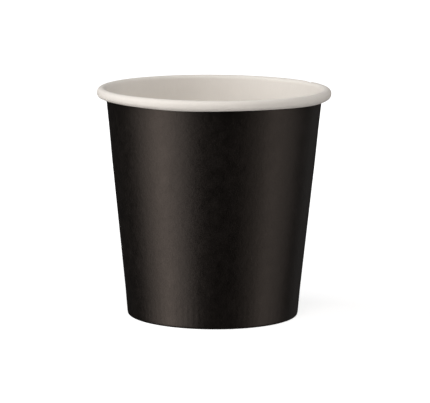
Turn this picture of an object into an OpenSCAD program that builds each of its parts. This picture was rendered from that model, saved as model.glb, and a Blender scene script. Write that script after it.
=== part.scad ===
// Small single-wall paper cup: a wrapped board wall and a pressed base disc.
// The origin is the middle of the ring that the cup stands on, with +Z up.
// Both boards are drawn as a middle line with half the board on each side of it.

/* [Cup] */
// Diameter across the rolled rim
rim_d = 62; // [58:1:72]
// Height from the table to the top of the rim
cup_h = 60.7; // [45:0.1:90]
// Diameter across the foot where the cup stands
foot_d = 45.5; // [38:0.5:52]

/* [Boards] */
// Thickness of the wall's board
board_t = 0.3; // [0.25:0.01:0.4]
// Thickness of the base disc's board
base_t = 0.28; // [0.2:0.01:0.4]

/* [Rolled rim] */
// Width of the roll, from the inside of the wall to the outermost point
roll_w = 2.5; // [2.1:0.1:3.2]
// Height of the roll
roll_h = 2.6; // [2.4:0.1:3.4]
// Gap between the wall and the board that curls back to it
curl_gap = 0.05; // [0.02:0.01:0.15]
// Turn of the curl past the place where it runs along the wall, in degrees
curl_turn = 60; // [10:5:75]

/* [Foot] */
// Height of the recess under the base disc
recess_h = 5.5; // [4:0.5:9]
// Height of the pressed band above the base disc
crimp_over = 1.2; // [0.6:0.1:3]
// Lean of the pressed band from upright, in degrees
crimp_lean = 5; // [3:0.5:6.5]
// Bend radius at the edge of the base disc, at the middle of its board
bend_r = 1; // [0.5:0.1:2]
// Clearance between the boards where the foot is pressed together
seal_gap = 0.02; // [0.01:0.01:0.05]
// Distance from the disc's bend down to the wall's turned-in edge
turn_in_gap = 0.1; // [0.05:0.05:1]

/* [Side seam] */
// Width of the lap at half the cup's height
lap_w = 7; // [4:0.5:10]
// Width over which the outer layer climbs onto the inner one
ramp_w = 3.5; // [2.5:0.5:6]
// Direction of the middle of the lap, in degrees from +X towards +Y
seam_at = 20; // [0:5:355]
// Length over which the lap fades out above the foot's fold
lap_fade = 1.2; // [0.8:0.1:3]

/* [Hidden] */

$fn = 180;
roll_flats = 6; // flats in a quarter turn of the roll
fold_flats = 3; // flats in a quarter turn of the foot's fold
bend_flats = 5; // flats in the base disc's bend

half_t = board_t / 2;
half_base = base_t / 2;

// Directions up the pressed band and square to it, outwards
band_up = [sin(crimp_lean), cos(crimp_lean)];
band_out = [cos(crimp_lean), -sin(crimp_lean)];

// The fold at the foot runs round the base disc's edge
fold_r = half_t + seal_gap + half_base;
fold_c = [foot_d / 2 - (fold_r + half_t) * cos(crimp_lean), fold_r + half_t];
band_foot = fold_c + fold_r * band_out;

// Base disc: level of its middle line and centre of its bend
disc_z = recess_h + half_base;
bend_z = disc_z - bend_r;
bend_c = [fold_c.x + ((bend_z - fold_c.y) * sin(crimp_lean) - bend_r) / cos(crimp_lean), bend_z];

// Turned-in edge of the wall, inside the base disc's skirt
leg_top = fold_c - fold_r * band_out
    + (bend_z - turn_in_gap - fold_c.y) / cos(crimp_lean) * band_up;

// Top of the pressed band, where the wall takes its own slope
band_rise = (recess_h + base_t + crimp_over - band_foot.y) / cos(crimp_lean);
band_top = band_foot + band_rise * band_up;

// Upper bend of the roll, and the wall's lean that runs into it smoothly
top_r = roll_w / 2 - half_t;
top_c = [rim_d / 2 - half_t - top_r, cup_h - half_t - top_r];
to_top = top_c - band_top;
wall_lean = atan2(to_top.x, to_top.y) - asin(top_r / norm(to_top));
wall_up = [sin(wall_lean), cos(wall_lean)];
wall_out = [cos(wall_lean), -sin(wall_lean)];
wall_top = top_c - top_r * wall_out;

// Lower bend of the roll, as wide as leaves the curl's gap to the wall
curl_r = (top_r * (1 + cos(wall_lean)) - board_t - curl_gap
    + (roll_h - board_t - top_r) * sin(wall_lean)) / (1 + cos(wall_lean) + sin(wall_lean));
curl_c = [rim_d / 2 - half_t - curl_r, cup_h - roll_h + half_t + curl_r];
curl_end = -180 - wall_lean - curl_turn;

// Side seam at half the cup's height: the outer cut edge, the inner cut edge where the
// ramp begins, and the hinge line where the ramp ends
mid_r = (band_top.x + wall_top.x) / 2 + half_t;
lap_a = lap_w / mid_r * 180 / PI;
ramp_a = ramp_w / mid_r * 180 / PI;
outer_edge_a = seam_at - lap_a / 2;
inner_edge_a = seam_at + lap_a / 2;
hinge_a = inner_edge_a + ramp_a;
hinge = mid_r * [cos(hinge_a), sin(hinge_a), 0];
climb = asin(board_t / ramp_w);
lap_end = (curl_c.y - wall_top.y) / cos(wall_lean) - half_t; // the lap stops inside the curl
step_end = lap_end - board_t; // the inner edge's step stops here, under the lap
step_rise = 0.5; // height at which the step starts above the pressed band
cutter_w = 3; // radial depth of the tools that slope the ramp

// Corners of a chain of flats that touch an arc, from angle a0 to angle a1
function arc(c, r, a0, a1, flats) =
    let (step = (a1 - a0) / flats)
    [for (i = [0.5 : flats]) c + r / cos(step / 2) * [cos(a0 + i * step), sin(a0 + i * step)]];

// The same points in the other order
function reversed(points) = [for (i = [len(points) - 1 : -1 : 0]) points[i]];

// One face of the wall's board, from its turned-in edge to the end of the curl.
// side is 1 for the face that shows outside and -1 for the one that shows inside.
function wall_face(side) = concat(
    [leg_top - side * half_t * band_out],
    arc(fold_c, fold_r + side * half_t, 180 - crimp_lean, 270, fold_flats),
    arc(fold_c, fold_r + side * half_t, 270, 360 - crimp_lean, fold_flats),
    [band_top + side * half_t * (band_out + wall_out) / 2],
    arc(top_c, top_r - side * half_t, 180 - wall_lean, 90, roll_flats),
    arc(top_c, top_r - side * half_t, 90, 0, roll_flats),
    arc(curl_c, curl_r - side * half_t, 0, -90, roll_flats),
    arc(curl_c, curl_r - side * half_t, -90, curl_end, 2 * roll_flats),
    [curl_c + (curl_r - side * half_t) * [cos(curl_end), sin(curl_end)]]
);

// One face of the base disc's board, from the axis to the skirt's cut edge.
// side is 1 underneath and -1 on top.
function disc_face(side) = concat(
    [[0, disc_z - side * half_base]],
    arc(bend_c, bend_r - side * half_base, 90, -crimp_lean, bend_flats),
    [fold_c + seal_gap * band_up - side * half_base * band_out]
);

// The line of the wall moved outwards by out, from start above the fold to past above the curl
function wall_line(out, start, past) = [
    band_foot + start * band_up + out * band_out,
    band_top + out * (band_out + wall_out) / 2,
    wall_top + (lap_end + past) * wall_up + out * wall_out
];

// Full turn of a board, given its two faces
module turned(face_a, face_b) {
    rotate_extrude()
        polygon(concat(face_a, reversed(face_b)));
}

// Part of a turn, from angle a0 to angle a1
module sector(points, a0, a1) {
    rotate([0, 0, a0])
        rotate_extrude(angle = a1 - a0)
            polygon(points);
}

// Turns a tool outwards about the seam's hinge line, by the slope of the ramp
module swung() {
    translate(hinge)
        rotate([0, 0, climb])
            translate(-hinge)
                children();
}

// Outer layer of the side seam: sharp on its cut edge, and on the other side sloped down
// by a swung tool that has the shape of the wall's outside
module seam_lap() {
    layer = concat(wall_line(0, 0, 0), reversed(wall_line(board_t + half_t, lap_fade, 0)));
    outside = concat(wall_line(half_t, -cutter_w, cutter_w),
        reversed(wall_line(half_t + cutter_w, -cutter_w, cutter_w)));
    difference() {
        sector(layer, outer_edge_a, hinge_a + ramp_a / 2);
        swung()
            sector(outside, hinge_a - 2 * ramp_a, hinge_a + ramp_a);
    }
}

// Space on the inside of the side seam, where the board leaves the inner face as it climbs,
// up to the step at the inner layer's cut edge
module seam_step() {
    foot_end = band_top + step_rise * wall_up - half_t * wall_out;
    rim_end = wall_top + step_end * wall_up - half_t * wall_out;
    depth = cutter_w * wall_out;
    swung()
        sector([foot_end, rim_end, rim_end - depth, foot_end - depth], inner_edge_a, hinge_a + ramp_a);
}

// Wall: one wrapped board with a lapped seam, a rolled rim and a turned-in foot
module sidewall() {
    color([0.1, 0.09, 0.085])
        difference() {
            union() {
                turned(wall_face(1), wall_face(-1));
                seam_lap();
            }
            seam_step();
        }
}

// Base: one round board, its edge bent down into the foot's fold
module base_disc() {
    color([0.95, 0.94, 0.92])
        turned(disc_face(1), disc_face(-1));
}

sidewall();
base_disc();
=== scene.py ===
"""Looks of a small black paper cup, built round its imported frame.

The cup is two pieces of board. The wall is one printed sheet that wraps round once and laps
over itself; its top edge is rolled outwards and its bottom edge is folded into the foot. The
base is a round sheet pressed into a shallow dish. Both are lofted here as real sheets with
two faces and cut edges, in the places of the frame's two nodes.
"""

import logging
import math
from dataclasses import dataclass, field
from enum import Enum

import bpy
import numpy as np
from mathutils import Matrix, Vector


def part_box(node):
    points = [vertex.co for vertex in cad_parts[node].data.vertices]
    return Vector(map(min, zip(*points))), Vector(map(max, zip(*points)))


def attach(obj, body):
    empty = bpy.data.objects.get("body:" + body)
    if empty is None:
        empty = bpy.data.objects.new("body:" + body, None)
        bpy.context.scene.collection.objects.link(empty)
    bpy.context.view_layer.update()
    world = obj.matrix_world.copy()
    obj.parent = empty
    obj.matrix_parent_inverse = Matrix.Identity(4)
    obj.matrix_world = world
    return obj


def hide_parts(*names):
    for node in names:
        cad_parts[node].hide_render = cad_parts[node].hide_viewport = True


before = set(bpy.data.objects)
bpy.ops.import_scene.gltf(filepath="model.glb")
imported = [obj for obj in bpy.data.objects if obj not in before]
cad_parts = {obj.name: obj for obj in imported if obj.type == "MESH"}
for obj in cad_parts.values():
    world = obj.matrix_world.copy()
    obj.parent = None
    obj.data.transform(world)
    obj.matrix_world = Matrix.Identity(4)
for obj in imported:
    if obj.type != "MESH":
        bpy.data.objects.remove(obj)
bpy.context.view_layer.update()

MM = 0.001
FULL_TURN = 2 * math.pi
Colour = tuple[float, float, float]
Socket = bpy.types.NodeSocket
Value = float | tuple[float, ...] | Socket
log = logging.getLogger("paper_cup")


class Face(Enum):
    """The finishes of a board, in the order of its material slots."""

    OUTSIDE = 0
    LINED = 1
    CUT_EDGE = 2


class Zone(Enum):
    """Stretches of a board's middle line, as they follow each other in the wall."""

    LEG = 0
    FOLD = 1
    BAND = 2
    WALL = 3
    ROLL = 4


@dataclass
class MiddleLine:
    """A board's middle line in the (radius, height) plane, in metres.

    Each point keeps the unit normal on the right of the way it runs, and its zone.
    """

    points: list[Vector] = field(default_factory=list)
    normals: list[Vector] = field(default_factory=list)
    zones: list[Zone] = field(default_factory=list)

    def add(self, point: Vector, normal: Vector, zone: Zone) -> None:
        """Adds one point.

        Args:
            point: Radius and height of the point.
            normal: Unit normal on the right of the way the line runs.
            zone: Zone of the point.
        """
        self.points.append(point)
        self.normals.append(normal)
        self.zones.append(zone)

    def straight(self, start: Vector, end: Vector, steps: int, zone: Zone) -> None:
        """Adds a straight stretch, without its last point.

        Args:
            start: Where the stretch begins.
            end: Where it ends, which is the next stretch's first point.
            steps: Number of points to add.
            zone: Zone of the points.
        """
        along = (end - start).normalized()
        for i in range(steps):
            self.add(start.lerp(end, i / steps), Vector((along.y, -along.x)), zone)

    def arc(self, centre: Vector, radius: float, start: float, end: float, steps: int,
            zone: Zone, closed: bool = False) -> None:
        """Adds an arc, without its last point unless it is closed.

        Args:
            centre: Centre of the arc.
            radius: Radius of the middle line.
            start: First angle, in degrees from the radius axis.
            end: Last angle. The arc turns left where this is the larger one.
            steps: Number of steps along the arc.
            zone: Zone of the points.
            closed: Whether the arc's last point is added too.
        """
        turn = 1 if end > start else -1
        for i in range(steps + (1 if closed else 0)):
            angle = math.radians(start + (end - start) * i / steps)
            spoke = Vector((math.cos(angle), math.sin(angle)))
            self.add(centre + radius * spoke, turn * spoke, zone)

    def arrays(self) -> tuple[np.ndarray, np.ndarray]:
        """Gives the points and the normals as arrays of shape (n, 2)."""
        return np.array([tuple(p) for p in self.points]), np.array([tuple(n) for n in self.normals])

    def mask(self, zone: Zone) -> np.ndarray:
        """Gives 1.0 at the points of a zone and 0.0 elsewhere."""
        return np.array([1.0 if z is zone else 0.0 for z in self.zones])


def lean(degrees: float) -> tuple[Vector, Vector]:
    """Gives the direction up a leaning wall and the direction square to it, outwards.

    Args:
        degrees: Lean from upright.

    Returns:
        The two unit vectors in the (radius, height) plane.
    """
    a = math.radians(degrees)
    return Vector((math.sin(a), math.cos(a))), Vector((math.cos(a), -math.sin(a)))


def smooth(x: np.ndarray) -> np.ndarray:
    """Gives a ramp from 0 to 1 with soft ends, for x from 0 to 1."""
    x = np.clip(x, 0.0, 1.0)
    return x * x * (3 - 2 * x)


def spin(section: np.ndarray, angles: np.ndarray) -> np.ndarray:
    """Turns sections into points round the cup's axis.

    Args:
        section: Radius and height of each point, of shape (columns, rows, 2).
        angles: Angle of each column, in radians.

    Returns:
        Points of shape (columns * rows, 3).
    """
    r, z = section[..., 0], section[..., 1]
    x = r * np.cos(angles)[:, None]
    y = r * np.sin(angles)[:, None]
    return np.stack([x, y, z], axis=-1).reshape(-1, 3)


def put_in_scene(name: str, data: bpy.types.ID) -> bpy.types.Object:
    """Makes an object of a mesh, a lamp or a camera, and links it to the scene.

    Args:
        name: Name of the object.
        data: What the object shows.

    Returns:
        The new object, at the origin.
    """
    obj = bpy.data.objects.new(name, data)
    bpy.context.scene.collection.objects.link(obj)
    return obj


@dataclass(frozen=True)
class Ripple:
    """Waves round the cup, each with its own random start.

    Attributes:
        seed: Seed of the random starts.
        waves: Count in a full turn and height of each wave.
    """

    seed: int
    waves: tuple[tuple[int, float], ...]

    def at(self, angles: np.ndarray) -> np.ndarray:
        """Gives the sum of the waves at each angle, in the unit of their heights."""
        rng = np.random.default_rng(self.seed)
        return sum(height * np.sin(count * angles + rng.uniform(0, FULL_TURN))
                   for count, height in self.waves)


@dataclass(frozen=True)
class Droop:
    """A stretch where the roll's lower side hangs lower.

    Attributes:
        centre: Direction of its middle, in degrees from +X towards +Y.
        spread: Degrees over which it fades.
        depth: How far it hangs, in metres.
    """

    centre: float
    spread: float
    depth: float

    def at(self, angles: np.ndarray) -> np.ndarray:
        """Gives how far it hangs at each angle."""
        away = np.remainder(angles - math.radians(self.centre) + math.pi, FULL_TURN) - math.pi
        return self.depth * np.exp(-(away / math.radians(self.spread)) ** 2)


@dataclass(frozen=True)
class Foot:
    """Sizes of the foot, which the wall and the base disc share. Lengths in metres.

    Attributes:
        foot_r: Radius of the ring that the cup stands on.
        board: Thickness of the wall's board.
        base_board: Thickness of the base disc's board.
        seal_gap: Clearance between the boards where they are pressed together.
        recess: Height of the recess under the base disc.
        crimp_over: Height of the pressed band above the base disc.
        crimp_lean: Lean of the pressed band from upright, in degrees.
        bend_r: Bend radius at the disc's edge, at the middle of its board.
        turn_in_gap: Distance from the disc's bend down to the wall's turned-in edge.
    """

    foot_r: float = 22.75 * MM
    board: float = 0.30 * MM
    base_board: float = 0.28 * MM
    seal_gap: float = 0.02 * MM
    recess: float = 5.5 * MM
    crimp_over: float = 1.2 * MM
    crimp_lean: float = 5.0
    bend_r: float = 1.0 * MM
    turn_in_gap: float = 0.1 * MM

    @property
    def fold_r(self) -> float:
        """Radius of the wall's middle line where it folds round the disc's edge."""
        return (self.board + self.base_board) / 2 + self.seal_gap

    @property
    def fold_c(self) -> Vector:
        """Centre of that fold."""
        reach = self.fold_r + self.board / 2
        return Vector((self.foot_r - reach * math.cos(math.radians(self.crimp_lean)), reach))

    @property
    def disc_z(self) -> float:
        """Height of the base disc's middle line."""
        return self.recess + self.base_board / 2

    @property
    def bend_c(self) -> Vector:
        """Centre of the bend at the base disc's edge.

        Returns:
            Radius and height of the centre, from which the skirt runs down into the fold.
        """
        a = math.radians(self.crimp_lean)
        z = self.disc_z - self.bend_r
        rise = z - self.fold_c.y
        return Vector((self.fold_c.x + (rise * math.sin(a) - self.bend_r) / math.cos(a), z))


class SheetMesh:
    """A closed mesh of a bent sheet, with its points in columns round the cup.

    The outside's points come first, then as many points of the lined side.
    """

    def __init__(self, name: str, columns: int, rows: int, closed: bool) -> None:
        """Starts an empty sheet.

        Args:
            name: Name of the object.
            columns: Number of columns round the cup.
            rows: Number of points in each column.
            closed: Whether the last column joins on to the first.
        """
        self.name = name
        self.columns, self.rows = columns, rows
        self.joins = columns if closed else columns - 1
        self.side = columns * rows
        self.faces: list[tuple[int, ...]] = []
        self.finish: list[int] = []
        self.sharp: set[tuple[int, ...]] = set()

    def point(self, column: int, row: int) -> int:
        """Gives the index of a point of the outside."""
        return column % self.columns * self.rows + row

    def add(self, corners: tuple[int, ...], finish: Face) -> None:
        """Adds one face."""
        self.faces.append(corners)
        self.finish.append(finish.value)

    def both_sides(self) -> None:
        """Adds the quads of the outside and then those of the lined side."""
        for base, finish in ((0, Face.OUTSIDE), (self.side, Face.LINED)):
            for column in range(self.joins):
                for row in range(self.rows - 1):
                    a = base + self.point(column, row)
                    b = base + self.point(column + 1, row)
                    quad = (a, b, b + 1, a + 1)
                    self.add(quad if finish is Face.OUTSIDE else quad[::-1], finish)

    def cut_edge(self, near: list[int], flip: bool) -> None:
        """Closes a cut edge, across the board from the outside to the lined side.

        Args:
            near: Indices of the outside's points along the edge.
            flip: Whether the quads turn the other way.
        """
        far = [i + self.side for i in near]
        first, second = (far, near) if flip else (near, far)
        for i in range(len(near) - 1):
            self.add((first[i], first[i + 1], second[i + 1], second[i]), Face.CUT_EDGE)
            self.sharp.add(tuple(sorted(first[i:i + 2])))
            self.sharp.add(tuple(sorted(second[i:i + 2])))

    def caps(self) -> None:
        """Closes the middle of both sides, round two last points that lie on the axis."""
        tip = 2 * self.side
        for base, finish in ((0, Face.OUTSIDE), (self.side, Face.LINED)):
            for column in range(self.columns):
                a, b = base + self.point(column, 0), base + self.point(column + 1, 0)
                self.add((tip, b, a) if finish is Face.OUTSIDE else (tip, a, b), finish)
            tip += 1

    def build(self, coords: np.ndarray, finishes: list[bpy.types.Material]) -> bpy.types.Object:
        """Makes the object in the scene.

        Args:
            coords: All points, of shape (n, 3), in metres.
            finishes: Materials, in the order of the faces' finishes.

        Returns:
            The new object, at the origin.
        """
        mesh = bpy.data.meshes.new(self.name)
        mesh.from_pydata(coords.tolist(), [], self.faces)
        for material in finishes:
            mesh.materials.append(material)
        mesh.polygons.foreach_set("material_index", self.finish)
        mesh.polygons.foreach_set("use_smooth", [True] * len(self.faces))
        for edge in mesh.edges:
            if tuple(sorted(edge.vertices)) in self.sharp:
                edge.use_edge_sharp = True
        mesh.update()
        return put_in_scene(self.name, mesh)


@dataclass(frozen=True)
class WallSteps:
    """Number of steps along each stretch of the wall's middle line."""

    leg: int = 6
    fold: int = 10
    corner: int = 4
    band: int = 7
    wall: int = 20
    roll_top: int = 16
    curl: int = 22


@dataclass
class Sidewall:
    """The wrapped and printed wall, with its lapped seam, rolled rim and turned-in foot.

    Lengths are in metres and angles in degrees.

    Attributes:
        foot: Sizes shared with the base disc.
        rim_r: Radius to the outside of the roll.
        height: Height from the table to the top of the rim.
        roll_w: Width of the roll.
        roll_h: Height of the roll.
        curl_gap: Gap between the wall and the board that curls back to it.
        curl_turn: Turn of the curl past the place where it runs along the wall.
        lap_w: Width of the lap at half the cup's height.
        ramp_w: Width over which the outer layer climbs onto the inner one.
        seam_at: Direction of the middle of the lap, from +X towards +Y.
        glue: Gap between the two layers of the lap.
        lap_rise: Share of the recess over which the layers part above the fold.
        steps: Steps along the middle line.
        ridges: Number of ridges that the foot is pressed with.
        steps_per_ridge: Columns of points for each ridge.
        leg_ridge: Depth of the ridges on the turned-in leg.
        band_ridge: Depth of the ridges outside, on the band.
        ridge_start: Share of the recess over which the band's ridges begin.
        ridge_end: Share of the recess over which they end.
        ridge_wear: Unevenness of the ridges round the cup.
        play: The wall's play out of round.
        creases: The fine creases of the roll.
        crease_reach: How far the creases reach from the roll's outside, as a share of its width.
        sway: Rise and fall of the roll's lower side.
        droops: Places where that side hangs lower.
        neck: How far the wall is drawn in under the roll.
        neck_start: Share of the height where that begins.
        neck_full: Share of the height where it is complete.
        neck_end: Distance under the rim's top over which it ends.
        soft_corner: How far the corner above the fold is pressed in.
        corner_top: Height to which that reaches.
    """

    foot: Foot
    rim_r: float
    height: float
    roll_w: float = 2.5 * MM
    roll_h: float = 2.6 * MM
    curl_gap: float = 0.05 * MM
    curl_turn: float = 60.0
    lap_w: float = 7.0 * MM
    ramp_w: float = 3.5 * MM
    seam_at: float = 20.0
    glue: float = 0.01 * MM
    lap_rise: float = 0.4
    steps: WallSteps = WallSteps()
    ridges: int = 96
    steps_per_ridge: int = 5
    leg_ridge: float = 0.05 * MM
    band_ridge: float = 0.011 * MM
    ridge_start: float = 0.25
    ridge_end: float = 0.3
    ridge_wear: Ripple = Ripple(8, ((5, 0.15), (13, 0.2), (37, 0.2)))
    play: Ripple = Ripple(4, ((2, 0.05 * MM), (3, 0.03 * MM), (7, 0.012 * MM)))
    creases: Ripple = Ripple(
        6, ((11, 0.012 * MM), (17, 0.009 * MM), (26, 0.008 * MM), (41, 0.006 * MM)))
    crease_reach: float = 0.6
    sway: Ripple = Ripple(9, ((4, 0.02 * MM), (7, 0.015 * MM)))
    droops: tuple[Droop, ...] = (Droop(-107.0, 17.0, 0.23 * MM), Droop(-35.0, 20.0, 0.17 * MM))
    neck: float = 0.12 * MM
    neck_start: float = 0.66
    neck_full: float = 0.86
    neck_end: float = 2.5 * MM
    soft_corner: float = 0.07 * MM
    corner_top: float = 0.95 * MM

    def path(self) -> MiddleLine:
        """Draws the wall's middle line.

        Returns:
            The line, from the turned-in edge to the end of the curl.
        """
        f = self.foot
        half = f.board / 2
        band_up, band_out = lean(f.crimp_lean)
        leg_foot = f.fold_c - f.fold_r * band_out
        leg_top = leg_foot + (f.bend_c.y - f.turn_in_gap - f.fold_c.y) / band_up.y * band_up
        band_foot = f.fold_c + f.fold_r * band_out
        corner_end = band_foot + (self.corner_top - band_foot.y) / band_up.y * band_up
        band_rise = (f.recess + f.base_board + f.crimp_over - band_foot.y) / band_up.y
        band_top = band_foot + band_rise * band_up

        # The wall leans so that it runs smoothly from the band's top into the roll
        top_r = self.roll_w / 2 - half
        top_c = Vector((self.rim_r - half - top_r, self.height - half - top_r))
        to_top = top_c - band_top
        slope = math.degrees(math.atan2(to_top.x, to_top.y) - math.asin(top_r / to_top.length))
        _, wall_out = lean(slope)

        # The curl is as wide as leaves its gap to the wall
        s, c = -wall_out.y, wall_out.x
        curl_r = (top_r * (1 + c) - f.board - self.curl_gap
                  + (self.roll_h - f.board - top_r) * s) / (1 + c + s)
        curl_c = Vector((self.rim_r - half - curl_r, self.height - self.roll_h + half + curl_r))
        curl_end = -180 - slope - self.curl_turn

        line, steps = MiddleLine(), self.steps
        line.straight(leg_top, leg_foot, steps.leg, Zone.LEG)
        line.arc(f.fold_c, f.fold_r, 180 - f.crimp_lean, 360 - f.crimp_lean, steps.fold, Zone.FOLD)
        line.straight(band_foot, corner_end, steps.corner, Zone.BAND)
        line.straight(corner_end, band_top, steps.band, Zone.BAND)
        line.straight(band_top, top_c - top_r * wall_out, steps.wall, Zone.WALL)
        line.arc(top_c, top_r, 180 - slope, 0, steps.roll_top, Zone.ROLL)
        line.arc(curl_c, curl_r, 0, curl_end, steps.curl, Zone.ROLL, closed=True)
        return line

    def angles(self) -> tuple[np.ndarray, np.ndarray]:
        """Places the columns, from the outer cut edge round to the inner one.

        Returns:
            The columns' angles, and how far each lies on the other layer, from 0 to 1.
        """
        mid_r = (self.foot.foot_r + self.rim_r - self.roll_w) / 2
        lap = self.lap_w / mid_r
        ramp = self.ramp_w / mid_r
        start = math.radians(self.seam_at) - lap / 2
        count = round(self.ridges * self.steps_per_ridge * (1 + lap / FULL_TURN))
        angles = start + np.linspace(0, FULL_TURN + lap, count + 1)
        return angles, 1 - smooth((angles - start - lap) / ramp)

    def section(self, line: MiddleLine, angles: np.ndarray, raised: np.ndarray) -> np.ndarray:
        """Moves the middle line for the seam's layers, the foot's ridges and the board's play.

        Args:
            line: The board's middle line.
            angles: Angle of each column.
            raised: How far each column lies on the other layer, from 0 to 1.

        Returns:
            Both faces' points, of shape (2, columns, rows, 2): outside first, then lined.
        """
        points, normals = line.arrays()
        radii, heights = points[:, 0], points[:, 1]
        belly = np.sin(np.pi * np.clip(heights / self.height, 0, 1)) * line.mask(Zone.WALL)
        out = (np.outer(raised, self.lift(line, heights))
               + self.pressed(line, heights, angles)
               + np.outer(self.play.at(angles), belly)
               - self.drawn_in(line, heights)[None, :])
        middle = points[None, :, :] + out[:, :, None] * normals[None, :, :]

        roll = line.mask(Zone.ROLL)
        creases = self.creases.at(angles)
        creased = roll * smooth((radii - self.rim_r) / self.roll_w + self.crease_reach)
        middle[..., 0] += np.outer(creases - creases.max(), creased)
        low = roll * smooth((self.height - heights) / self.roll_h)
        middle[..., 1] += np.outer(self.hang(angles), low)

        half = self.foot.board / 2 * normals[None, :, :]
        faces = np.stack([middle + half, middle - half])
        corner = 1 - line.mask(Zone.LEG) - roll
        faces[0, ..., 0] -= self.soft_corner * smooth(1 - heights / self.corner_top) * corner
        faces[..., 1] = np.clip(faces[..., 1], 0.0, self.height)
        return faces

    def lift(self, line: MiddleLine, heights: np.ndarray) -> np.ndarray:
        """Gives how far the seam's outer layer lies out of the inner one.

        Args:
            line: The board's middle line.
            heights: Height of each of its points.

        Returns:
            The distance at each point. It is next to nothing in the fold and the leg, where
            the layers are pressed into each other.
        """
        board = self.foot.board
        free = 1 - line.mask(Zone.LEG) - line.mask(Zone.FOLD)
        share = smooth(heights / (self.foot.recess * self.lap_rise)) * free
        return (board + self.glue) * np.maximum(share, 2 * self.glue / board)

    def drawn_in(self, line: MiddleLine, heights: np.ndarray) -> np.ndarray:
        """Gives how far the wall is drawn in under the roll.

        Args:
            line: The board's middle line.
            heights: Height of each of its points.

        Returns:
            The distance at each point, inwards.
        """
        rise = (heights / self.height - self.neck_start) / (self.neck_full - self.neck_start)
        under_rim = smooth((self.height - heights) / self.neck_end)
        return self.neck * line.mask(Zone.WALL) * smooth(rise) * under_rim

    def hang(self, angles: np.ndarray) -> np.ndarray:
        """Gives how far the roll's lower side moves up or down, as it is never quite even.

        Args:
            angles: Angle of each column.

        Returns:
            The height to add at each column.
        """
        height = self.sway.at(angles)
        for droop in self.droops:
            height = height - droop.at(angles)
        return height

    def pressed(self, line: MiddleLine, heights: np.ndarray, angles: np.ndarray) -> np.ndarray:
        """Gives the marks of the ridged wheel that presses the foot together.

        Args:
            line: The board's middle line.
            heights: Height of each of its points.
            angles: Angle of each column.

        Returns:
            How far each point moves along its normal, of shape (columns, rows).
        """
        f = self.foot
        ridge = 0.5 + 0.5 * np.cos(self.ridges * angles)
        worn = 1 + self.ridge_wear.at(angles)
        begun = smooth(heights / (self.ridge_start * f.recess))
        ended = smooth((f.recess + f.crimp_over - heights) / (self.ridge_end * f.recess))
        band = self.band_ridge * line.mask(Zone.BAND) * (begun * ended)
        return np.outer(ridge * worn, self.leg_ridge * line.mask(Zone.LEG) - band)

    def build(self, finishes: list[bpy.types.Material]) -> bpy.types.Object:
        """Lofts the wall and dresses it.

        Args:
            finishes: Materials for the outside, the lined side and the cut edge.

        Returns:
            The wall, standing for the frame's sidewall.
        """
        angles, raised = self.angles()
        faces = self.section(self.path(), angles, raised)
        columns, rows = faces.shape[1:3]

        sheet = SheetMesh("printed_wall", columns, rows, closed=False)
        sheet.both_sides()
        sheet.cut_edge([sheet.point(c, 0) for c in range(columns)], flip=True)
        sheet.cut_edge([sheet.point(c, rows - 1) for c in range(columns)], flip=False)
        sheet.cut_edge([sheet.point(0, r) for r in range(rows)], flip=False)
        sheet.cut_edge([sheet.point(columns - 1, r) for r in range(rows)], flip=True)
        obj = sheet.build(np.concatenate([spin(side, angles) for side in faces]), finishes)
        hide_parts("sidewall")
        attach(obj, "root")
        return obj


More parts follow.
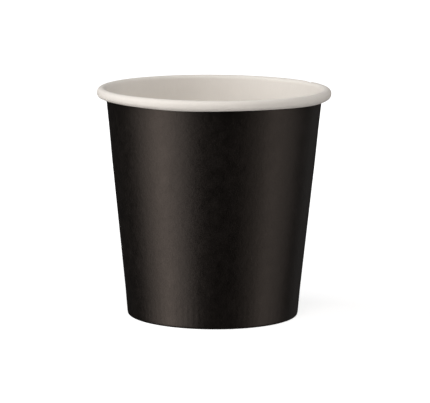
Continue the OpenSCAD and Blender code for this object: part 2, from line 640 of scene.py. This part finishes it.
@dataclass
class BaseDisc:
    """The round base, pressed into a shallow dish whose skirt hangs in the foot's fold.

    Attributes:
        foot: Sizes shared with the wall, in metres.
        columns: Number of columns of points round the cup.
        rings: Number of rings on the flat part.
        bend_steps: Steps along the bend.
        skirt_steps: Steps down the skirt.
        sag: How far the middle sags, in metres.
        pucker: Small waves near the bend.
        pucker_start: Share of the flat part's radius where they begin.
    """

    foot: Foot
    columns: int = 288
    rings: int = 14
    bend_steps: int = 10
    skirt_steps: int = 6
    sag: float = 0.12 * MM
    pucker: Ripple = Ripple(2, ((24, 0.012 * MM), (31, 0.01 * MM), (9, 0.012 * MM)))
    pucker_start: float = 0.7

    def path(self) -> MiddleLine:
        """Draws the disc's middle line.

        Returns:
            The line, from near the axis to the skirt's cut edge.
        """
        f = self.foot
        band_up, band_out = lean(f.crimp_lean)
        first_ring = Vector((f.bend_c.x / self.rings, f.disc_z))
        skirt_end = f.fold_c + f.seal_gap * band_up
        line = MiddleLine()
        line.straight(first_ring, Vector((f.bend_c.x, f.disc_z)), self.rings, Zone.WALL)
        line.arc(f.bend_c, f.bend_r, 90, -f.crimp_lean, self.bend_steps, Zone.FOLD)
        line.straight(f.bend_c + f.bend_r * band_out, skirt_end, self.skirt_steps, Zone.LEG)
        line.add(skirt_end, -band_out, Zone.LEG)
        return line

    def section(self, line: MiddleLine, angles: np.ndarray) -> np.ndarray:
        """Moves the middle line for the sag and the pucker.

        Args:
            line: The board's middle line.
            angles: Angle of each column.

        Returns:
            Both faces' points, of shape (2, columns, rows, 2): the underside first.
        """
        points, normals = line.arrays()
        flat = line.mask(Zone.WALL)
        across = points[:, 0] / self.foot.bend_c.x
        sag = -self.sag * np.cos(np.pi / 2 * np.clip(across, 0, 1)) * flat
        near_bend = smooth((across - self.pucker_start) / (1 - self.pucker_start)) * flat
        middle = np.repeat(points[None, :, :], len(angles), axis=0)
        middle[..., 1] += sag[None, :] + np.outer(self.pucker.at(angles), near_bend)
        half = self.foot.base_board / 2 * normals[None, :, :]
        return np.stack([middle + half, middle - half])

    def build(self, finishes: list[bpy.types.Material]) -> bpy.types.Object:
        """Lofts the disc and dresses it.

        Args:
            finishes: Materials for the underside, the lined side and the cut edge.

        Returns:
            The disc, standing for the frame's base_disc.
        """
        angles = np.linspace(0, FULL_TURN, self.columns, endpoint=False)
        faces = self.section(self.path(), angles)
        rows = faces.shape[2]
        centre_z, half = self.foot.disc_z - self.sag, self.foot.base_board / 2
        on_axis = [[0, 0, centre_z - half], [0, 0, centre_z + half]]

        sheet = SheetMesh("base_dish", self.columns, rows, closed=True)
        sheet.both_sides()
        sheet.cut_edge([sheet.point(c, rows - 1) for c in range(self.columns + 1)], flip=False)
        sheet.caps()
        coords = np.concatenate([*(spin(side, angles) for side in faces), on_axis])
        obj = sheet.build(coords, finishes)
        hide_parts("base_disc")
        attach(obj, "root")
        return obj


class Nodes:
    """Short ways to add and join shader nodes in one tree."""

    def __init__(self, tree: bpy.types.NodeTree) -> None:
        """Keeps the tree."""
        self.tree = tree

    def feed(self, value: Value, target: Socket) -> None:
        """Links a socket to an input, or sets a plain value on it.

        Args:
            value: A socket, a number or a colour.
            target: The input.
        """
        if isinstance(value, Socket):
            self.tree.links.new(value, target)
        else:
            target.default_value = value

    def add(self, kind: str, **values: object) -> bpy.types.Node:
        """Adds a node and sets its properties and its inputs.

        Args:
            kind: Node type's id name.
            **values: Values by property name, or by input name with spaces as underscores.

        Returns:
            The new node.
        """
        node = self.tree.nodes.new(kind)
        for name, value in values.items():
            if hasattr(node, name):
                setattr(node, name, value)
            else:
                self.feed(value, node.inputs[name.replace("_", " ")])
        return node

    def math(self, operation: str, first: Value, second: Value) -> Socket:
        """Adds a Math node.

        Args:
            operation: The node's operation.
            first: First input.
            second: Second input.

        Returns:
            The node's output.
        """
        node = self.add("ShaderNodeMath", operation=operation)
        self.feed(first, node.inputs[0])
        self.feed(second, node.inputs[1])
        return node.outputs[0]

    def mix(self, share: Socket, first: Value, second: Value, kind: str = "FLOAT") -> Socket:
        """Adds a Mix node, which has a set of sockets for each kind and shows one set.

        Args:
            share: The second value's share.
            first: First value.
            second: Second value.
            kind: FLOAT for numbers, or RGBA for colours with their alpha.

        Returns:
            The node's output.
        """
        node = self.add("ShaderNodeMix", data_type=kind)
        shown = {slot.name: slot for slot in node.inputs if slot.enabled}
        self.feed(share, shown["Factor"])
        self.feed(first, shown["A"])
        self.feed(second, shown["B"])
        return next(slot for slot in node.outputs if slot.enabled)


def blank_tree(owner: bpy.types.Material | bpy.types.World) -> Nodes:
    """Gives a material or a world an empty node tree.

    Args:
        owner: The material or the world.

    Returns:
        A helper for the tree.
    """
    owner.use_nodes = True
    owner.node_tree.nodes.clear()
    return Nodes(owner.node_tree)


def make_group(name: str, inputs: dict[str, float],
               outputs: tuple[str, ...]) -> tuple[Nodes, bpy.types.Node, bpy.types.Node]:
    """Starts a shader node group whose inputs and outputs are numbers.

    Args:
        name: The group's name.
        inputs: Default value of each input.
        outputs: Names of the outputs.

    Returns:
        A helper for the group's tree, and its input and output nodes.
    """
    tree = bpy.data.node_groups.new(name, "ShaderNodeTree")
    for label, value in inputs.items():
        socket = tree.interface.new_socket(label, in_out="INPUT", socket_type="NodeSocketFloat")
        socket.default_value = value
    for label in outputs:
        tree.interface.new_socket(label, in_out="OUTPUT", socket_type="NodeSocketFloat")
    n = Nodes(tree)
    return n, n.add("NodeGroupInput"), n.add("NodeGroupOutput")


def spread(n: Nodes, value: Socket, low: float, high: float) -> Socket:
    """Spreads a noise value, which lies mostly from 0.3 to 0.7, over a new range.

    Args:
        n: Helper of the tree.
        value: The noise value.
        low: Result at 0.3.
        high: Result at 0.7.

    Returns:
        The new value.
    """
    node = n.add("ShaderNodeMapRange", Value=value, From_Min=0.3, From_Max=0.7,
                 To_Min=low, To_Max=high)
    return node.outputs["Result"]


def board_grain() -> bpy.types.NodeTree:
    """Builds the group for a board's surface: fine fibre, slow clouds, and a relief.

    Returns:
        The group. Its Peel input is the share of the soft peel in the relief, and the rest
        of the relief is fibre.
    """
    n, given, out = make_group(
        "board_grain",
        {
            "Grain Scale": 2600.0,
            "Cloud Scale": 170.0,
            "Peel Scale": 650.0,
            "Peel": 0.5,
            "Fibre Stretch": 0.35,
        },
        ("Grain", "Cloud", "Relief"),
    )
    where = n.add("ShaderNodeTexCoord").outputs["Object"]
    stretch = n.add("ShaderNodeCombineXYZ", X=1.0, Y=1.0, Z=given.outputs["Fibre Stretch"])
    along = n.add("ShaderNodeVectorMath", operation="MULTIPLY")
    n.feed(where, along.inputs[0])
    n.feed(stretch.outputs[0], along.inputs[1])
    fibre = n.add("ShaderNodeTexNoise", Vector=along.outputs[0],
                  Scale=given.outputs["Grain Scale"], Detail=5.0, Roughness=0.62, Distortion=0.6)
    cloud = n.add("ShaderNodeTexNoise", Vector=where,
                  Scale=given.outputs["Cloud Scale"], Detail=4.0, Roughness=0.55, Distortion=0.3)
    peel = n.add("ShaderNodeTexNoise", Vector=where,
                 Scale=given.outputs["Peel Scale"], Detail=2.0, Roughness=0.5, Distortion=0.4)
    n.feed(fibre.outputs[0], out.inputs["Grain"])
    n.feed(cloud.outputs[0], out.inputs["Cloud"])
    n.feed(n.mix(given.outputs["Peel"], fibre.outputs[0], peel.outputs[0]), out.inputs["Relief"])
    return n.tree


def rubbed_foot() -> bpy.types.NodeTree:
    """Builds the group for a mask of the print rubbed thin where the foot meets the table.

    Returns:
        The group. Its Height input is how far up the rub reaches, in metres.
    """
    n, given, out = make_group(
        "rubbed_foot", {"Height": 0.18 * MM, "Speck Scale": 1500.0}, ("Mask",))
    where = n.add("ShaderNodeTexCoord").outputs["Object"]
    height = n.add("ShaderNodeSeparateXYZ", Vector=where).outputs["Z"]
    speck = n.add("ShaderNodeTexNoise", Vector=where, Scale=given.outputs["Speck Scale"],
                  Detail=4.0, Roughness=0.6)
    reach = n.math("MULTIPLY", given.outputs["Height"], spread(n, speck.outputs[0], 0.0, 1.0))
    mask = n.math("DIVIDE", n.math("SUBTRACT", reach, height), given.outputs["Height"])
    n.feed(n.math("MAXIMUM", mask, 0.0), out.inputs["Mask"])
    return n.tree


@dataclass(frozen=True)
class BoardFinish:
    """Finish of one side of a board. Colours are linear.

    Attributes:
        name: Name of the material.
        deep: Colour in the darker patches.
        pale: Colour in the lighter patches.
        smooth_rough: Roughness in the smoother patches.
        coarse_rough: Roughness in the coarser patches.
        grain_scale: Scale of the fibre, per metre.
        cloud_scale: Scale of the clouds, per metre.
        relief: Height of the relief, in metres.
        peel: Share of the soft peel in the relief.
        ior_level: Strength of the gloss.
        gloss_tint: Colour of the gloss.
        rubbed: Colour where the foot is rubbed, if it is.
    """

    name: str
    deep: Colour
    pale: Colour
    smooth_rough: float
    coarse_rough: float
    grain_scale: float
    cloud_scale: float
    relief: float
    peel: float
    ior_level: float
    gloss_tint: Colour = (1.0, 1.0, 1.0)
    rubbed: Colour | None = None

    def material(self, grain: bpy.types.NodeTree, rub: bpy.types.NodeTree) -> bpy.types.Material:
        """Builds the material.

        Args:
            grain: The board grain group.
            rub: The rubbed foot group.

        Returns:
            The new material.
        """
        made = bpy.data.materials.new(self.name)
        n = blank_tree(made)
        fibre = n.add("ShaderNodeGroup", node_tree=grain, Grain_Scale=self.grain_scale,
                      Cloud_Scale=self.cloud_scale, Peel=self.peel)
        patches = n.math("ADD", n.math("MULTIPLY", fibre.outputs["Grain"], 0.5),
                         n.math("MULTIPLY", fibre.outputs["Cloud"], 0.5))
        colour = n.mix(spread(n, patches, 0.0, 1.0), (*self.deep, 1.0), (*self.pale, 1.0), "RGBA")
        if self.rubbed:
            mask = n.add("ShaderNodeGroup", node_tree=rub).outputs["Mask"]
            colour = n.mix(mask, colour, (*self.rubbed, 1.0), "RGBA")
        bump = n.add("ShaderNodeBump", Strength=1.0, Distance=self.relief,
                     Height=fibre.outputs["Relief"])
        shader = n.add("ShaderNodeBsdfPrincipled", Base_Color=colour,
                       Roughness=spread(n, patches, self.smooth_rough, self.coarse_rough),
                       Specular_IOR_Level=self.ior_level,
                       Specular_Tint=(*self.gloss_tint, 1.0),
                       Normal=bump.outputs["Normal"])
        n.add("ShaderNodeOutputMaterial", Surface=shader.outputs[0])
        return made


PRINTED = BoardFinish(
    "black_print", deep=(0.0007, 0.0005, 0.0004), pale=(0.0038, 0.0030, 0.0027),
    smooth_rough=0.31, coarse_rough=0.45, grain_scale=2600.0, cloud_scale=340.0,
    relief=0.055 * MM, peel=0.8, ior_level=0.78, gloss_tint=(1.0, 0.87, 0.80),
    rubbed=(0.022, 0.019, 0.017))
LINED = BoardFinish(
    "white_lining", deep=(0.836, 0.801, 0.754), pale=(0.874, 0.839, 0.792),
    smooth_rough=0.46, coarse_rough=0.58, grain_scale=1800.0, cloud_scale=220.0,
    relief=0.024 * MM, peel=0.5, ior_level=0.2)
PLAIN = BoardFinish(
    "plain_white_board", deep=(0.76, 0.72, 0.66), pale=(0.86, 0.82, 0.76),
    smooth_rough=0.72, coarse_rough=0.88, grain_scale=2200.0, cloud_scale=240.0,
    relief=0.05 * MM, peel=0.3, ior_level=0.3)
RAW_EDGE = BoardFinish(
    "cut_board_edge", deep=(0.26, 0.22, 0.17), pale=(0.66, 0.59, 0.49),
    smooth_rough=0.85, coarse_rough=0.95, grain_scale=5200.0, cloud_scale=900.0,
    relief=0.06 * MM, peel=0.0, ior_level=0.2)

# Tints of the lamps
WARM = (1.0, 0.93, 0.87)
PALE = (1.0, 0.97, 0.945)
COOL = (0.95, 0.96, 0.97)


@dataclass(frozen=True)
class Softbox:
    """A rectangular lamp that faces the cup. Lengths in metres, angles in degrees.

    The sizes given here are those of the tall strips, which reach below the table's level.

    Attributes:
        name: Name of the lamp.
        azimuth: Direction, where 0 is the camera's side and 90 the viewer's right.
        power: Power in watts.
        colour: Tint.
        elevation: Angle above the table's level.
        distance: Distance from the cup.
        width: Width of the lamp.
        height: Height of the lamp.
    """

    name: str
    azimuth: float
    power: float
    colour: Colour
    elevation: float = -2.0
    distance: float = 1.5
    width: float = 0.55
    height: float = 2.15

    def build(self, target: Vector) -> bpy.types.Object:
        """Hangs the lamp.

        Args:
            target: The point that the lamp faces.

        Returns:
            The lamp.
        """
        a, e = math.radians(self.azimuth), math.radians(self.elevation)
        out = Vector((math.sin(a) * math.cos(e), -math.cos(a) * math.cos(e), math.sin(e)))
        data = bpy.data.lights.new(self.name, "AREA")
        data.shape = "RECTANGLE"
        data.size, data.size_y = self.width, self.height
        data.energy = self.power
        data.color = self.colour
        lamp = put_in_scene(self.name, data)
        lamp.location = target + out * self.distance
        lamp.rotation_euler = (-out).to_track_quat("-Z", "Y").to_euler()
        lamp.visible_camera = False
        return lamp


@dataclass
class Studio:
    """The pale floor, the soft lamps and the plain world.

    Attributes:
        floor_r: Half the floor's width, in metres.
        floor_tone: Grey of the floor.
        near_glow: What the camera sees added to the floor near the cup.
        far_glow: The same far from it, where 1 is white.
        near_r: Radius where the glow starts to change.
        far_r: Radius from which it is whole.
        ambient: Strength of the world's light.
        shine: Strength of the world in reflections.
        lamps: The lamps.
    """

    floor_r: float = 6.0
    floor_tone: float = 0.55
    near_glow: float = 0.77
    far_glow: float = 1.0
    near_r: float = 0.05
    far_r: float = 0.30
    ambient: float = 0.04
    shine: float = 0.02
    lamps: tuple[Softbox, ...] = (
        Softbox("key_back", -82.0, 2.15, WARM),
        Softbox("key_core", -60.0, 6.9, WARM),
        Softbox("key_front", -38.0, 3.2, PALE),
        Softbox("fill_front", 48.0, 0.75, WARM),
        Softbox("fill_core", 70.0, 2.8, WARM),
        Softbox("fill_side", 92.0, 1.35, WARM),
        Softbox("fill_back", 140.0, 0.3, PALE),
        Softbox("left_softbox", -88.0, 7.1, COOL, 42.0, 1.2, 0.80, 0.80),
        Softbox("right_softbox", 120.0, 2.2, COOL, 20.0, 1.2, 0.50, 0.50),
        Softbox("front_softbox", 0.0, 7.0, PALE, 50.0, 1.2, 0.80, 0.80),
    )

    def world(self) -> None:
        """Makes the world: white to the camera, dim to reflections, and a soft fill elsewhere."""
        world = bpy.data.worlds.new("plain_world")
        n = blank_tree(world)
        path = n.add("ShaderNodeLightPath")
        soft = n.mix(path.outputs["Is Glossy Ray"], self.ambient, self.shine)
        seen = n.mix(path.outputs["Is Camera Ray"], soft, 1.0)
        sky = n.add("ShaderNodeBackground", Strength=seen)
        n.add("ShaderNodeOutputWorld", Surface=sky.outputs[0])
        bpy.context.scene.world = world

    def floor_finish(self) -> bpy.types.Material:
        """Builds the floor's material: matt and grey, with a glow that only the camera sees.

        Returns:
            The material. The glow turns the floor white, and leaves the cup's shadow on it.
        """
        made = bpy.data.materials.new("pale_floor")
        n = blank_tree(made)
        away = n.add("ShaderNodeVectorMath", operation="LENGTH")
        n.feed(n.add("ShaderNodeTexCoord").outputs["Object"], away.inputs[0])
        level = n.add("ShaderNodeMapRange", interpolation_type="SMOOTHSTEP",
                      Value=away.outputs["Value"], From_Min=self.near_r, From_Max=self.far_r,
                      To_Min=self.near_glow, To_Max=self.far_glow)
        seen = n.add("ShaderNodeLightPath").outputs["Is Camera Ray"]
        glow = n.add("ShaderNodeEmission", Strength=n.math("MULTIPLY", seen, level.outputs["Result"]))
        matt = n.add("ShaderNodeBsdfDiffuse", Color=(self.floor_tone,) * 3 + (1.0,))
        both = n.add("ShaderNodeAddShader")
        n.feed(matt.outputs[0], both.inputs[0])
        n.feed(glow.outputs[0], both.inputs[1])
        n.add("ShaderNodeOutputMaterial", Surface=both.outputs[0])
        return made

    def floor(self) -> bpy.types.Object:
        """Lays the floor, which keeps the cup's shadow.

        Returns:
            The floor. Reflections don't show it, and it blocks no lamp.
        """
        mesh = bpy.data.meshes.new("floor")
        r = self.floor_r
        mesh.from_pydata([(-r, -r, 0), (r, -r, 0), (r, r, 0), (-r, r, 0)], [], [(0, 1, 2, 3)])
        mesh.materials.append(self.floor_finish())
        obj = put_in_scene("floor", mesh)
        obj.visible_glossy = False
        obj.visible_shadow = False
        return obj

    def build(self, target: Vector) -> None:
        """Sets up the studio round a target.

        Args:
            target: The point that the lamps face.
        """
        self.world()
        self.floor()
        for lamp in self.lamps:
            lamp.build(target)


@dataclass(frozen=True)
class PhotoCamera:
    """The camera, as fitted to the outline of the cup in the photograph.

    Attributes:
        photo_width: Width of the photograph, in pixels.
        focal: Focal length, in pixels of the photograph.
        sensor: Width of the sensor, in millimetres.
        distance: Distance from the point that it aims at, in metres.
        elevation: Angle above the table's level, in degrees.
        roll: Roll, in degrees.
        aim_right: How far to the right of the cup's middle it aims, in metres.
        aim_down: How far below the cup's middle it aims, in metres.
        near_clip: Nearest distance that it shows, in metres.
        far_clip: Farthest distance that it shows, in metres.
    """

    photo_width: float = 430.0
    focal: float = 2816.0
    sensor: float = 36.0
    distance: float = 0.749
    elevation: float = 9.04
    roll: float = 0.401
    aim_right: float = 0.44 * MM
    aim_down: float = 0.23 * MM
    near_clip: float = 0.01
    far_clip: float = 50.0

    def build(self, centre: Vector) -> bpy.types.Object:
        """Sets up the scene's camera.

        Args:
            centre: Middle of the cup.

        Returns:
            The camera.
        """
        data = bpy.data.cameras.new("photo_camera")
        data.sensor_fit = "HORIZONTAL"
        data.sensor_width = self.sensor
        data.lens = self.focal / self.photo_width * self.sensor
        data.clip_start, data.clip_end = self.near_clip, self.far_clip
        camera = put_in_scene("photo_camera", data)
        e = math.radians(self.elevation)
        back = Vector((0.0, -math.cos(e), math.sin(e)))
        target = centre + Vector((self.aim_right, 0.0, -self.aim_down))
        turn = (-back).to_track_quat("-Z", "Y").to_matrix().to_4x4()
        tilt = Matrix.Rotation(math.radians(self.roll), 4, "Z")
        camera.matrix_world = Matrix.Translation(target + back * self.distance) @ turn @ tilt
        bpy.context.scene.camera = camera
        return camera


def main() -> None:
    """Builds the cup, the studio and the camera, and reports each piece."""
    logging.basicConfig(level=logging.INFO, format="%(name)s: %(message)s")
    bpy.context.scene.view_settings.view_transform = "Standard"
    low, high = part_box("sidewall")
    centre = Vector((0.0, 0.0, (low[2] + high[2]) / 2))
    grain, rub = board_grain(), rubbed_foot()
    printed, lined, plain, raw = (
        finish.material(grain, rub) for finish in (PRINTED, LINED, PLAIN, RAW_EDGE))
    foot = Foot()
    wall = Sidewall(foot, rim_r=high[0], height=high[2]).build([printed, lined, raw])
    disc = BaseDisc(foot).build([plain, lined, raw])
    for piece in (wall, disc):
        log.info("%s: %d faces", piece.name, len(piece.data.polygons))
    Studio().build(centre)
    PhotoCamera().build(centre)


if __name__ == "__main__":
    main()
